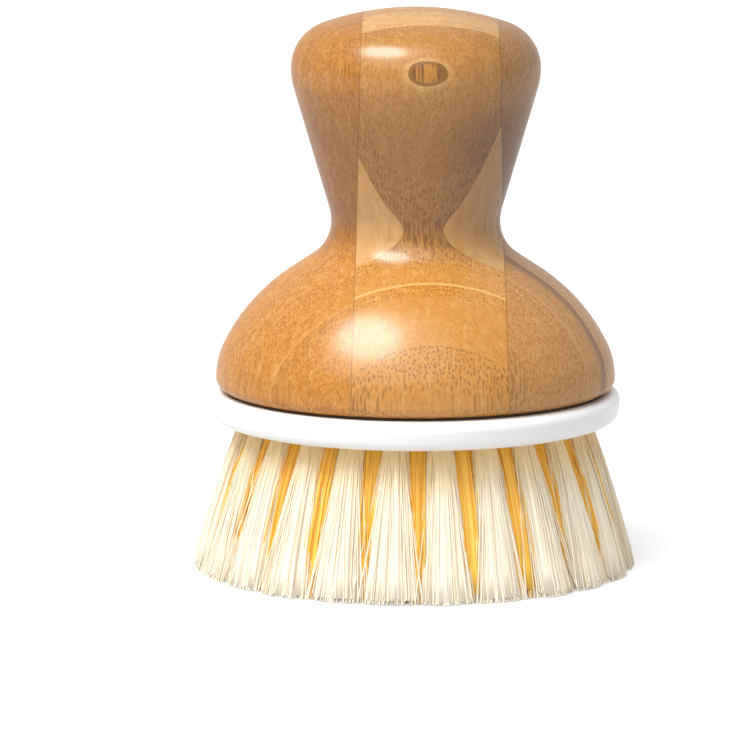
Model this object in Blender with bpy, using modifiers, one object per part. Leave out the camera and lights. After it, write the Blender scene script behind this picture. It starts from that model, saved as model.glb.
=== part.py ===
"""A palm-held dish brush: a turned bamboo knob over a white plate of tufted bristles.

The plate unscrews for renewal. Lengths are in metres. The brush stands on its bristle tips at z = 0, with
its axis on Z and its front towards -Y.
"""

import math

import bmesh
import bpy
from mathutils import Matrix, Vector

# Heights of the stack, from the table up
bristle_length = 0.0225
plate_thickness = 0.0044
seal_proud = 0.0003
seal_gap = 0.0001
knob_height = 0.0577

# Clearances between pieces
fit_gap = 0.0003
thread_gap = 0.00035
overrun = 0.001
weld_distance = 0.000001

# Turned outline of the bamboo knob
crown_diameter = 0.0377
crown_dome_radius = 0.043
crown_edge_radius = 0.007
crown_side_radius = 0.011
waist_diameter = 0.0256
waist_rise = 0.0255
waist_upper_radius = 0.0074
waist_lower_radius = 0.0062
shoulder_radius = 0.029
shoulder_end_degrees = 27
bell_diameter = 0.0606
bell_side_radius = 0.0117
base_edge_radius = 0.0016

# Screw joint between the plate's post and the socket in the knob
post_diameter = 0.013
post_chamfer = 0.0008
post_tip_length = 0.0025
post_root_length = 0.0022
thread_pitch = 0.004
thread_turns = 1.5
thread_ridge_radius = 0.0011
thread_stand = 0.0001
socket_wall = 0.0016
socket_roof = 0.0014
socket_headroom = 0.0006
socket_flange_width = 0.00435
socket_flange_thickness = 0.0016

# Sealing ring between knob and plate, set in from the bell's edge
seal_inset = 0.0017
seal_width = 0.007
seal_thickness = 0.001

# Rim of the brush plate, past the bell's edge and drawn in at its foot
rim_overhang = 0.0008
rim_foot_inset = 0.0002
rim_top_round = 0.0014
rim_foot_round = 0.0016

# Outer row of white tufts, each in its own drilled hole. A row's share is of the radius of the rim's foot.
outer_tuft_count = 24
outer_row_share = 0.8
outer_tip_spread = 0.007
outer_plug_diameter = 0.0044
outer_strands = 8
outer_tip_gap = 0.0006
outer_tip_reach_across = 0.0019
outer_strand_radii = (0.00045, 0.00065)

# Second row of amber tufts, one behind each gap of the outer row
second_tuft_count = 24
second_row_share = 0.646
second_tip_spread = 0.0068
second_plug_diameter = 0.0032
second_strands = 4
second_tip_reach_along = 0.0015
second_tip_reach_across = 0.0013
second_strand_radii = (0.00045, 0.00065)

# Inner rows of amber tufts, each row on its own slice of the backing
third_tuft_count = 16
third_row_share = 0.448
third_tip_spread = 0.0029
fourth_tuft_count = 10
fourth_row_share = 0.271
fourth_tip_spread = 0.0015
centre_tuft_count = 5
centre_row_share = 0.095
centre_tip_spread = 0.0007
inner_strands = 3
inner_root_reach = 0.0009
inner_tip_reach = 0.0012
inner_strand_radii = (0.0005, 0.0007)
slice_thickness = 0.0015
slice_web = 0.0014

# Plate left over the tuft holes, plug left round the strands, and how far a strand runs into its root
hole_floor = 0.0006
plug_margin = 0.00035
strand_embed = 0.0004

# How finely round shapes are faceted
turned_steps = 48
insert_steps = 24
thread_steps_per_turn = 16
plug_sides = 8
slice_sides = 32
strand_sides = 3
largest_open_ring = 5
arc_step_degrees = 10
rim_step_degrees = 30
sharp_degrees = 35

# Places that follow from the sizes above
plate_top = bristle_length + plate_thickness
knob_base = plate_top + seal_proud + seal_gap
overall_height = knob_base + knob_height
post_radius = post_diameter / 2
post_top = plate_top + post_root_length + thread_turns * thread_pitch + post_tip_length
thread_start = plate_top + post_root_length
thread_path_radius = post_radius + thread_stand
groove_radius = thread_ridge_radius + thread_gap
bore_radius = post_radius + thread_gap
bore_top = post_top + socket_headroom
socket_radius = thread_path_radius + groove_radius + socket_wall
socket_flange_radius = socket_radius + socket_flange_width
socket_top = bore_top + socket_roof
seal_bottom = plate_top + seal_proud - seal_thickness
seal_outer_radius = bell_diameter / 2 - seal_inset
seal_inner_radius = seal_outer_radius - seal_width
seat_floor = seal_bottom - seal_gap
rim_radius = bell_diameter / 2 + rim_overhang
rim_foot_radius = rim_radius - rim_foot_inset
plug_depth = seat_floor - bristle_length - hole_floor - fit_gap
outer_row_radius = rim_foot_radius * outer_row_share
second_row_radius = rim_foot_radius * second_row_share
third_row_radius = rim_foot_radius * third_row_share
fourth_row_radius = rim_foot_radius * fourth_row_share
centre_row_radius = rim_foot_radius * centre_row_share
outer_tip_radius = outer_row_radius + outer_tip_spread
outer_tip_half_pitch = math.pi * outer_tip_radius / outer_tuft_count
outer_tip_reach_along = outer_tip_half_pitch - outer_strand_radii[1] - outer_tip_gap / 2
third_slice_inner = (third_row_radius + fourth_row_radius + slice_web) / 2
third_slice_outer = 2 * third_row_radius - third_slice_inner
fourth_slice_inner = (fourth_row_radius + centre_row_radius + slice_web) / 2
fourth_slice_outer = third_slice_inner - slice_web
centre_slice_outer = fourth_slice_inner - slice_web

BAMBOO = ("bamboo", (0.62, 0.36, 0.14), 0.32, 0.0)
WHITE_PLASTIC = ("white_plastic", (0.90, 0.90, 0.90), 0.30, 0.0)
SOCKET_PLASTIC = ("socket_plastic", (0.80, 0.79, 0.76), 0.45, 0.0)
SEAL_RUBBER = ("seal_rubber", (0.10, 0.06, 0.04), 0.75, 0.0)
WHITE_BRISTLE = ("white_bristle", (0.90, 0.86, 0.74), 0.45, 0.0)
AMBER_BRISTLE = ("amber_bristle", (0.88, 0.52, 0.10), 0.45, 0.0)


def material_of(spec):
    """The material of this name, made once: one colour, one roughness and one metallic value."""
    name, colour, roughness, metallic = spec
    material = bpy.data.materials.get(name)
    if material is None:
        material = bpy.data.materials.new(name)
        material.use_nodes = True
        shader = material.node_tree.nodes["Principled BSDF"]
        shader.inputs["Base Color"].default_value = (*colour, 1.0)
        shader.inputs["Roughness"].default_value = roughness
        shader.inputs["Metallic"].default_value = metallic
    return material


def start_scene():
    """An empty scene with one collection for the brush and one for its cutters."""
    for obj in list(bpy.data.objects):
        bpy.data.objects.remove(obj, do_unlink=True)
    made = {}
    for name in ("dish_brush", "cutters"):
        made[name] = bpy.data.collections.new(name)
        bpy.context.scene.collection.children.link(made[name])
    made["cutters"].hide_render = True
    return made["dish_brush"], made["cutters"]


def add_empty(name, parent, collection):
    """An empty on the brush's axis, which carries the pieces that move together."""
    empty = bpy.data.objects.new(name, None)
    empty.parent = parent
    collection.objects.link(empty)
    return empty


def add_object(name, mesh, collection, parent=None, spec=None):
    """A mesh object in a collection. One without a material is a cutter, drawn as wire."""
    obj = bpy.data.objects.new(name, mesh)
    obj.parent = parent
    collection.objects.link(obj)
    if spec is None:
        obj.hide_render = True
        obj.display_type = "WIRE"
    elif not mesh.materials:
        mesh.materials.append(material_of(spec))
    return obj


def mesh_from(name, bm):
    """A mesh that takes over a bmesh's faces."""
    mesh = bpy.data.meshes.new(name)
    bm.to_mesh(mesh)
    bm.free()
    return mesh


def finished_mesh(obj, name):
    """A plain mesh of the object with its modifiers applied and its loose caps welded."""
    bpy.context.view_layer.update()
    graph = bpy.context.evaluated_depsgraph_get()
    mesh = bpy.data.meshes.new_from_object(obj.evaluated_get(graph))
    mesh.name = name
    bm = bmesh.new()
    bm.from_mesh(mesh)
    bmesh.ops.remove_doubles(bm, verts=bm.verts, dist=weld_distance)
    bm.to_mesh(mesh)
    bm.free()
    return mesh


def add_boolean(obj, other, operation):
    """A Boolean of the object with another mesh object, which stays editable."""
    modifier = obj.modifiers.new(f"{operation.lower()}_{other.name}", "BOOLEAN")
    modifier.operation = operation
    modifier.object = other
    modifier.solver = "EXACT"


def arc(centre, radius, start, end, step_degrees):
    """Points (radius from the axis, height) along an arc. Angles are radians above the outward direction."""
    count = max(1, round(abs(math.degrees(end - start)) / step_degrees))
    points = []
    for i in range(count + 1):
        angle = start + (end - start) * i / count
        points.append((centre[0] + radius * math.cos(angle), centre[1] + radius * math.sin(angle)))
    return points


def tangent_outline(rounds, start, end, step_degrees):
    """An outline that rolls from round to round, from the top down, along the tangent from each to the next.

    A round is a centre and a radius, which is negative where the outline is hollow there.
    """
    normals = [start]
    for (first, first_radius), (second, second_radius) in zip(rounds, rounds[1:]):
        across, up = second[0] - first[0], second[1] - first[1]
        share = (first_radius - second_radius) / math.hypot(across, up)
        turn = math.acos(max(-1, min(1, share)))
        normals.append(math.remainder(math.atan2(up, across) + turn, math.tau))
    normals.append(end)
    points = []
    for (centre, radius), begin, finish in zip(rounds, normals, normals[1:]):
        points += arc(centre, radius, begin, finish, step_degrees)
    return points


def without_repeats(points):
    """The outline without points that coincide with the one before."""
    kept = points[:1]
    for point in points[1:]:
        if math.dist(point, kept[-1]) > weld_distance:
            kept.append(point)
    return kept


def turned(name, outline, steps, collection, parent=None, spec=None):
    """A solid turned on the axis from an outline of (radius, height) that runs down its outer side."""
    bm = bmesh.new()
    verts = [bm.verts.new((radius, 0, height)) for radius, height in without_repeats(outline)]
    for first, second in zip(verts, verts[1:]):
        bm.edges.new((first, second))
    if outline[0][0] > 0:
        bm.edges.new((verts[-1], verts[0]))
    blank = add_object(f"{name}_blank", mesh_from(f"{name}_blank", bm), collection)
    screw = blank.modifiers.new("turn", "SCREW")
    screw.steps = steps
    screw.render_steps = steps
    screw.use_merge_vertices = True
    screw.merge_threshold = weld_distance
    mesh = finished_mesh(blank, name)
    bpy.data.objects.remove(blank, do_unlink=True)
    mesh.shade_smooth()
    mesh.set_sharp_from_angle(angle=math.radians(sharp_degrees))
    return add_object(name, mesh, collection, parent, spec)


def largest_radius(round_edge, inwards, hollow_centre, hollow_radius):
    """The radius at which a round that lies inwards of an edge just meets a hollow round."""
    reach = Vector(round_edge) - Vector(hollow_centre)
    return (reach.length_squared - hollow_radius ** 2) / (2 * (reach.dot(Vector(inwards)) + hollow_radius))


def knob_outline():
    """The knob's outer side, from the top of its crown down to its base.

    The crown's side and the shoulder are no rounder than the hollow of the waist leaves room for.
    """
    top = overall_height
    crown_radius = crown_diameter / 2
    waist_radius = waist_diameter / 2
    waist_height = knob_base + waist_rise
    dome_centre = (0, top - crown_dome_radius)
    rise = (crown_dome_radius - crown_edge_radius) ** 2 - (crown_radius - crown_edge_radius) ** 2
    crown_height = dome_centre[1] + math.sqrt(rise)
    upper_hollow = (waist_radius + waist_upper_radius, waist_height)
    lower_hollow = (waist_radius + waist_lower_radius, waist_height)
    widest = (crown_radius, crown_height)
    side = min(crown_side_radius, largest_radius(widest, (1, 0), upper_hollow, waist_upper_radius))
    bell_centre = (bell_diameter / 2 - bell_side_radius, knob_base + base_edge_radius)
    lean = math.radians(shoulder_end_degrees)
    inwards = Vector((math.cos(lean), math.sin(lean)))
    shoulder_end = Vector(bell_centre) + bell_side_radius * inwards
    shoulder = min(shoulder_radius, largest_radius(shoulder_end, inwards, lower_hollow, waist_lower_radius))
    shoulder_centre = shoulder_end - shoulder * inwards
    rounds = [
        (dome_centre, crown_dome_radius),
        ((crown_radius - crown_edge_radius, crown_height), crown_edge_radius),
        ((crown_radius - side, crown_height), side),
        (upper_hollow, -waist_upper_radius),
        (lower_hollow, -waist_lower_radius),
        (shoulder_centre, shoulder),
        (bell_centre, bell_side_radius),
        ((bell_diameter / 2 - base_edge_radius, bell_centre[1]), base_edge_radius),
    ]
    return tangent_outline(rounds, math.pi / 2, -math.pi / 2, arc_step_degrees)


def add_bamboo_knob(collection, parent):
    """The turned knob, bored from below for the socket and its flange."""
    hole_radius = socket_radius + fit_gap
    recess_radius = socket_flange_radius + fit_gap
    recess_top = knob_base + socket_flange_thickness + fit_gap
    hole_top = socket_top + fit_gap
    outline = knob_outline() + [
        (recess_radius, knob_base),
        (recess_radius, recess_top),
        (hole_radius, recess_top),
        (hole_radius, hole_top),
        (0, hole_top),
    ]
    turned("bamboo_knob", outline, turned_steps, collection, parent, BAMBOO)


def add_helix(name, tube_radius, start_height, end_height, collection, parent):
    """A right-hand helical tube on the thread's path, as a mesh cutter or joiner."""
    turns = (end_height - start_height) / thread_pitch
    first_angle = math.tau * (start_height - thread_start) / thread_pitch
    count = math.ceil(turns * thread_steps_per_turn)
    curve = bpy.data.curves.new(name, "CURVE")
    curve.dimensions = "3D"
    curve.twist_mode = "Z_UP"
    curve.bevel_depth = tube_radius
    curve.bevel_resolution = 1
    curve.use_fill_caps = True
    spline = curve.splines.new("POLY")
    spline.points.add(count)
    for i, point in enumerate(spline.points):
        angle = first_angle + math.tau * turns * i / count
        height = start_height + turns * thread_pitch * i / count
        x = thread_path_radius * math.cos(angle)
        y = thread_path_radius * math.sin(angle)
        point.co = (x, y, height, 1)
    route = bpy.data.objects.new(f"{name}_route", curve)
    collection.objects.link(route)
    mesh = finished_mesh(route, name)
    bpy.data.objects.remove(route, do_unlink=True)
    bm = bmesh.new()
    bm.from_mesh(mesh)
    bmesh.ops.recalc_face_normals(bm, faces=bm.faces)
    bm.to_mesh(mesh)
    bm.free()
    return add_object(name, mesh, collection, parent)


def add_threaded_socket(collection, cutters, parent):
    """The moulded socket glued into the knob, with a round thread inside for the plate's post."""
    flange_top = knob_base + socket_flange_thickness
    outline = [
        (0, socket_top),
        (socket_radius, socket_top),
        (socket_radius, flange_top),
        (socket_flange_radius, flange_top),
        (socket_flange_radius, knob_base),
        (bore_radius, knob_base),
        (bore_radius, bore_top),
        (0, bore_top),
    ]
    socket = turned("threaded_socket", outline, insert_steps, collection, parent, SOCKET_PLASTIC)
    groove_end = thread_start + thread_turns * thread_pitch + groove_radius - thread_ridge_radius
    groove_start = knob_base - groove_radius - overrun
    groove = add_helix("thread_groove", groove_radius, groove_start, groove_end, cutters, parent)
    add_boolean(socket, groove, "DIFFERENCE")


def add_seal_ring(collection, parent):
    """The flat sealing ring that shows as a dark line under the bamboo."""
    top = seal_bottom + seal_thickness
    outline = [
        (seal_inner_radius, top),
        (seal_outer_radius, top),
        (seal_outer_radius, seal_bottom),
        (seal_inner_radius, seal_bottom),
    ]
    turned("seal_ring", outline, turned_steps, collection, parent, SEAL_RUBBER)


def rim_outline():
    """The plate's edge, from its top face round to its underside."""
    rounds = [
        ((rim_radius - rim_top_round, plate_top - rim_top_round), rim_top_round),
        ((rim_foot_radius - rim_foot_round, bristle_length + rim_foot_round), rim_foot_round),
    ]
    return tangent_outline(rounds, math.pi / 2, -math.pi / 2, rim_step_degrees)


def slice_recess(inner, outer):
    """A recess in the plate's underside for a slice between two radii, outlined from the rim inwards."""
    roof = bristle_length + slice_thickness + fit_gap
    points = [(outer + fit_gap, bristle_length), (outer + fit_gap, roof)]
    if inner > 0:
        return points + [(inner - fit_gap, roof), (inner - fit_gap, bristle_length)]
    return points + [(0, roof)]


def add_brush_plate(collection, cutters, parent):
    """The white plate with its threaded post, its seat for the seal and its holes for the tufts."""
    seat_inner = seal_inner_radius - fit_gap
    seat_outer = seal_outer_radius + fit_gap
    outline = [
        (0, post_top),
        (post_radius - post_chamfer, post_top),
        (post_radius, post_top - post_chamfer),
        (post_radius, plate_top),
        (seat_inner, plate_top),
        (seat_inner, seat_floor),
        (seat_outer, seat_floor),
        (seat_outer, plate_top),
    ]
    outline += rim_outline()
    outline += slice_recess(third_slice_inner, third_slice_outer)
    outline += slice_recess(fourth_slice_inner, fourth_slice_outer)
    outline += slice_recess(0, centre_slice_outer)
    plate = turned("brush_plate", outline, turned_steps, collection, parent, WHITE_PLASTIC)
    thread_end = thread_start + thread_turns * thread_pitch
    ridge = add_helix("thread_ridge", thread_ridge_radius, thread_start, thread_end, cutters, parent)
    add_boolean(plate, ridge, "UNION")
    holes = tuft_holes(cutters, parent)
    add_boolean(plate, holes, "DIFFERENCE")


def half_pitch(count):
    """Half the angle between neighbouring tufts of a row."""
    return math.pi / count


def row_angles(count, offset):
    """The angles of a row's tufts, counted from the front."""
    return [-math.pi / 2 + offset + math.tau * i / count for i in range(count)]


def tuft_holes(cutters, parent):
    """One cutter for the blind holes of the two outer rows."""
    bm = bmesh.new()
    depth = plug_depth + fit_gap + overrun
    centre_height = bristle_length - overrun + depth / 2
    rows = (
        (outer_row_radius, outer_plug_diameter, row_angles(outer_tuft_count, half_pitch(outer_tuft_count))),
        (second_row_radius, second_plug_diameter, row_angles(second_tuft_count, 0)),
    )
    for row_radius, plug_diameter, angles in rows:
        hole_radius = plug_diameter / 2 + fit_gap / math.cos(math.pi / plug_sides)
        for angle in angles:
            place = Matrix.Rotation(angle, 4, "Z") @ Matrix.Translation((row_radius, 0, centre_height))
            bmesh.ops.create_cone(
                bm,
                cap_ends=True,
                segments=plug_sides,
                radius1=hole_radius,
                radius2=hole_radius,
                depth=depth,
                matrix=place,
            )
    return add_object("tuft_holes", mesh_from("tuft_holes", bm), cutters, parent)


def strand_places(count):
    """Unit places of a tuft's strands: a ring of them, and one more in the middle of a larger tuft."""
    ring = count if count <= largest_open_ring else count - 1
    places = [(math.cos(math.tau * i / ring), math.sin(math.tau * i / ring)) for i in range(ring)]
    return places if ring == count else places + [(0, 0)]


def add_strand(bm, root, tip, radii):
    """A straight strand from inside its root at the plate, where it is finer, down to its flat-cut tip."""
    slope = (root - tip) / bristle_length
    top = root + slope * strand_embed
    height = bristle_length + strand_embed
    lean = (top - tip) / height
    middle = (top + tip) / 2
    shear = Matrix(((1, 0, lean.x, middle.x), (0, 1, lean.y, middle.y), (0, 0, 1, height / 2), (0, 0, 0, 1)))
    root_radius, tip_radius = radii
    bmesh.ops.create_cone(
        bm,
        cap_ends=True,
        segments=strand_sides,
        radius1=tip_radius,
        radius2=root_radius,
        depth=height,
        matrix=shear,
    )


def add_tuft_strands(bm, angle, row_radius, tip_radius, places, root_reach, tip_reaches, radii):
    """The strands of one tuft, which fan out from its root to its tips without crossing."""
    outwards = Vector((math.cos(angle), math.sin(angle)))
    along = Vector((-math.sin(angle), math.cos(angle)))
    for across_share, along_share in places:
        root = outwards * (row_radius + across_share * root_reach) + along * along_share * root_reach
        tip = outwards * (tip_radius + across_share * tip_reaches[0]) + along * along_share * tip_reaches[1]
        add_strand(bm, root, tip, radii)


def fused_mesh(name, backing, strands, collection, cutters):
    """One closed mesh of a backing with strands grown from it, in place of the two shapes."""
    body = add_object(f"{name}_backing", backing, cutters)
    grown = add_object(f"{name}_strands", mesh_from(f"{name}_strands", strands), cutters)
    add_boolean(body, grown, "UNION")
    mesh = finished_mesh(body, name)
    for obj in (body, grown):
        bpy.data.objects.remove(obj, do_unlink=True)
    return mesh


def tuft_mesh(name, row_radius, tip_radius, plug_diameter, strands, tip_reaches, radii, groups):
    """A single tuft at angle zero: a plug that fills its hole, and the strands below it."""
    plug_radius = plug_diameter / 2
    plug = bmesh.new()
    bmesh.ops.create_cone(
        plug,
        cap_ends=True,
        segments=plug_sides,
        radius1=plug_radius,
        radius2=plug_radius,
        depth=plug_depth,
        matrix=Matrix.Translation((row_radius, 0, bristle_length + plug_depth / 2)),
    )
    bm = bmesh.new()
    root_reach = plug_radius - radii[0] - plug_margin
    add_tuft_strands(bm, 0, row_radius, tip_radius, strand_places(strands), root_reach, tip_reaches, radii)
    return fused_mesh(name, mesh_from(f"{name}_plug", plug), bm, *groups)


def add_single_tufts(name, mesh, angles, collection, parent, spec):
    """A row of tufts that are separate pieces, numbered from the front."""
    for i, angle in enumerate(angles):
        tuft = add_object(f"{name}_{i + 1:02d}", mesh, collection, parent, spec)
        tuft.rotation_euler.z = angle


def slice_mesh(name, inner, outer, groups):
    """A slice of the backing under an inner row: a disc, or a flat ring where it has an inner radius."""
    top = bristle_length + slice_thickness
    if inner > 0:
        outline = [(inner, top), (outer, top), (outer, bristle_length), (inner, bristle_length)]
    else:
        outline = [(0, top), (outer, top), (outer, bristle_length), (0, bristle_length)]
    blank = turned(f"{name}_slice", outline, slice_sides, groups[1])
    mesh = blank.data
    bpy.data.objects.remove(blank, do_unlink=True)
    return mesh


def add_inner_row(name, angles, row_radius, tip_spread, inner, outer, groups, parent, middle=False):
    """An inner row of amber tufts, grown from one slice of the backing."""
    bm = bmesh.new()
    tip_radius = row_radius + tip_spread
    reaches = (inner_tip_reach, inner_tip_reach)
    places = strand_places(inner_strands)
    for angle in angles:
        add_tuft_strands(
            bm,
            angle,
            row_radius,
            tip_radius,
            places,
            inner_root_reach,
            reaches,
            inner_strand_radii,
        )
    if middle:
        add_strand(bm, Vector((0, 0)), Vector((0, 0)), inner_strand_radii)
    mesh = fused_mesh(name, slice_mesh(name, inner, outer, groups), bm, *groups)
    add_object(name, mesh, groups[0], parent, AMBER_BRISTLE)


def add_bristles(collection, cutters, parent):
    """All the tufts: two rows of single ones and three rows on slices of the backing."""
    groups = (collection, cutters)
    outer = tuft_mesh(
        "white_tuft",
        outer_row_radius,
        outer_tip_radius,
        outer_plug_diameter,
        outer_strands,
        (outer_tip_reach_across, outer_tip_reach_along),
        outer_strand_radii,
        groups,
    )
    angles = row_angles(outer_tuft_count, half_pitch(outer_tuft_count))
    add_single_tufts("white_tuft", outer, angles, collection, parent, WHITE_BRISTLE)
    second = tuft_mesh(
        "amber_tuft",
        second_row_radius,
        second_row_radius + second_tip_spread,
        second_plug_diameter,
        second_strands,
        (second_tip_reach_across, second_tip_reach_along),
        second_strand_radii,
        groups,
    )
    angles = row_angles(second_tuft_count, 0)
    add_single_tufts("amber_tuft", second, angles, collection, parent, AMBER_BRISTLE)
    add_inner_row(
        "third_row_tufts",
        row_angles(third_tuft_count, half_pitch(third_tuft_count)),
        third_row_radius,
        third_tip_spread,
        third_slice_inner,
        third_slice_outer,
        groups,
        parent,
    )
    add_inner_row(
        "fourth_row_tufts",
        row_angles(fourth_tuft_count, 0),
        fourth_row_radius,
        fourth_tip_spread,
        fourth_slice_inner,
        fourth_slice_outer,
        groups,
        parent,
    )
    add_inner_row(
        "centre_tufts",
        row_angles(centre_tuft_count, half_pitch(centre_tuft_count)),
        centre_row_radius,
        centre_tip_spread,
        0,
        centre_slice_outer,
        groups,
        parent,
        middle=True,
    )


def main():
    """The whole brush. The empties stand on the axis that the seal slides along and the head turns about."""
    collection, cutters = start_scene()
    knob_axis = add_empty("knob_axis", None, collection)
    seal_axis = add_empty("seal_axis", knob_axis, collection)
    head_axis = add_empty("head_axis", seal_axis, collection)
    add_bamboo_knob(collection, knob_axis)
    add_threaded_socket(collection, cutters, knob_axis)
    add_seal_ring(collection, seal_axis)
    add_brush_plate(collection, cutters, head_axis)
    add_bristles(collection, cutters, head_axis)


main()
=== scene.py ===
"""A palm-held dish brush in soft studio light: a lacquered bamboo knob over a white plate of bristle tufts.

Lengths are in metres, and those of the bamboo's grain in millimetres. The brush stands on its bristle tips
at z = 0, with its axis on Z and its front towards -Y.
"""

import math

import bmesh
import bpy
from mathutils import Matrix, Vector


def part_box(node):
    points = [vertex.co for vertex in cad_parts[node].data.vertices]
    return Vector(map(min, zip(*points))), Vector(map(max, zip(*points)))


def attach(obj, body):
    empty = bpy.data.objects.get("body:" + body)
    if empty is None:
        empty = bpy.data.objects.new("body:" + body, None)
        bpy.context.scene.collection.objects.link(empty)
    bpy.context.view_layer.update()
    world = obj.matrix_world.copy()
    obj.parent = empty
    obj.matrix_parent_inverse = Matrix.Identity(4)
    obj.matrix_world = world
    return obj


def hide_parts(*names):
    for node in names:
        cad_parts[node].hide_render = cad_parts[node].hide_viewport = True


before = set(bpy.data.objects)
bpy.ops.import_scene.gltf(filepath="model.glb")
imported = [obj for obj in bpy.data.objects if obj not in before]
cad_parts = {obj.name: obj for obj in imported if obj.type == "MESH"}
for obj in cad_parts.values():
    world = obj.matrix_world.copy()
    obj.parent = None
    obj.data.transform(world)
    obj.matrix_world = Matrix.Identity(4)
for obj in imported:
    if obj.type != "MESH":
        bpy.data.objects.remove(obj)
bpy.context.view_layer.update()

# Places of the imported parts
knob_low, knob_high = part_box("bamboo_knob")
seal_low, seal_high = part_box("seal_ring")
plate_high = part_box("brush_plate")[1]
socket_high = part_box("threaded_socket")[1]
knob_base = knob_low.z
knob_top = knob_high.z
bell_radius = knob_high.x
rim_radius = plate_high.x
seal_outer_radius = seal_high.x
socket_flange_radius = socket_high.x
socket_top = socket_high.z
post_top = plate_high.z

# Turned outline of the bamboo knob
crown_radius = 0.01885
crown_dome_radius = 0.043
crown_edge_radius = 0.007
crown_side_radius = 0.011
waist_radius = 0.0128
waist_rise = 0.0255
waist_upper_radius = 0.0074
waist_lower_radius = 0.0062
shoulder_radius = 0.029
shoulder_end_degrees = 27
bell_side_radius = 0.0117
base_edge_radius = 0.0016

# Bore of the knob
fit_gap = 0.0003
socket_body_radius = 0.00965
socket_flange_thickness = 0.0016

# Plate, post and thread
bristle_length = 0.0225
plate_thickness = 0.0044
plate_top = bristle_length + plate_thickness
rim_draft = 0.0002
rim_foot_radius = rim_radius - rim_draft
rim_top_round = 0.0014
rim_foot_round = 0.0016
post_radius = 0.0065
post_chamfer = 0.0008
post_root_length = 0.0022
thread_pitch = 0.004
thread_turns = 1.5
thread_ridge_radius = 0.0011
thread_stand = 0.0001
seal_width = 0.007
seal_gap = 0.0001

# Camera at the photograph's angle: the eye, and where a point of the axis appears in the photograph
photo_size = 736
sensor_width = 36
focal_pixels = 5534
eye_distance = 0.830
eye_height = 0.1649
aim_height = 0.041
aim_pixel = (415.6, 297.1)

# How finely things are turned
knob_steps = 192
plate_steps = 160
thread_steps_per_turn = 48
knob_arc_step_degrees = 2.5
rim_arc_step_degrees = 10.0
sharp_degrees = 35
weld_distance = 0.000001


def arc(centre, radius, start, end, step_degrees):
    """Points (radius from the axis, height) along an arc. Angles are radians above the outward direction."""
    count = max(1, round(abs(math.degrees(end - start)) / step_degrees))
    points = []
    for i in range(count + 1):
        angle = start + (end - start) * i / count
        points.append((centre[0] + radius * math.cos(angle), centre[1] + radius * math.sin(angle)))
    return points


def tangent_outline(rounds, step_degrees):
    """An outline that rolls from round to round, from its top to its foot, along the tangents between them.

    A round is a centre and a radius, which is negative where the outline is hollow there.
    """
    normals = [math.pi / 2]
    for (first, first_radius), (second, second_radius) in zip(rounds, rounds[1:]):
        across, up = second[0] - first[0], second[1] - first[1]
        share = (first_radius - second_radius) / math.hypot(across, up)
        turn = math.acos(max(-1, min(1, share)))
        normals.append(math.remainder(math.atan2(up, across) + turn, math.tau))
    normals.append(-math.pi / 2)
    points = []
    for (centre, radius), begin, finish in zip(rounds, normals, normals[1:]):
        points += arc(centre, radius, begin, finish, step_degrees)
    return points


def without_repeats(points):
    """The outline without points that coincide with the one before."""
    kept = points[:1]
    for point in points[1:]:
        if math.dist(point, kept[-1]) > weld_distance:
            kept.append(point)
    return kept


def add_object(name, data):
    """An object at the origin."""
    obj = bpy.data.objects.new(name, data)
    bpy.context.scene.collection.objects.link(obj)
    return obj


def baked(obj, name):
    """A plain mesh of the object as its modifiers leave it."""
    bpy.context.view_layer.update()
    graph = bpy.context.evaluated_depsgraph_get()
    mesh = bpy.data.meshes.new_from_object(obj.evaluated_get(graph))
    mesh.name = name
    return mesh


def closed_up(mesh):
    """The mesh with its doubles merged and its faces turned outwards."""
    bm = bmesh.new()
    bm.from_mesh(mesh)
    bmesh.ops.remove_doubles(bm, verts=bm.verts, dist=weld_distance)
    bmesh.ops.recalc_face_normals(bm, faces=bm.faces)
    bm.to_mesh(mesh)
    bm.free()
    return mesh


def smooth(mesh):
    """Smooth shading, but for sharp edges."""
    mesh.shade_smooth()
    mesh.set_sharp_from_angle(angle=math.radians(sharp_degrees))


def turned(name, outline, steps):
    """A solid turned on the axis from an outline of (radius, height) that runs down its outer side."""
    bm = bmesh.new()
    verts = [bm.verts.new((radius, 0, height)) for radius, height in without_repeats(outline)]
    for first, second in zip(verts, verts[1:]):
        bm.edges.new((first, second))
    if outline[0][0] > 0:
        bm.edges.new((verts[-1], verts[0]))
    mesh = bpy.data.meshes.new(f"{name}_outline")
    bm.to_mesh(mesh)
    bm.free()
    blank = add_object(f"{name}_blank", mesh)
    screw = blank.modifiers.new("turn", "SCREW")
    screw.steps = steps
    screw.render_steps = steps
    screw.use_merge_vertices = True
    screw.merge_threshold = weld_distance
    made = closed_up(baked(blank, name))
    bpy.data.objects.remove(blank, do_unlink=True)
    smooth(made)
    return add_object(name, made)


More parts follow.
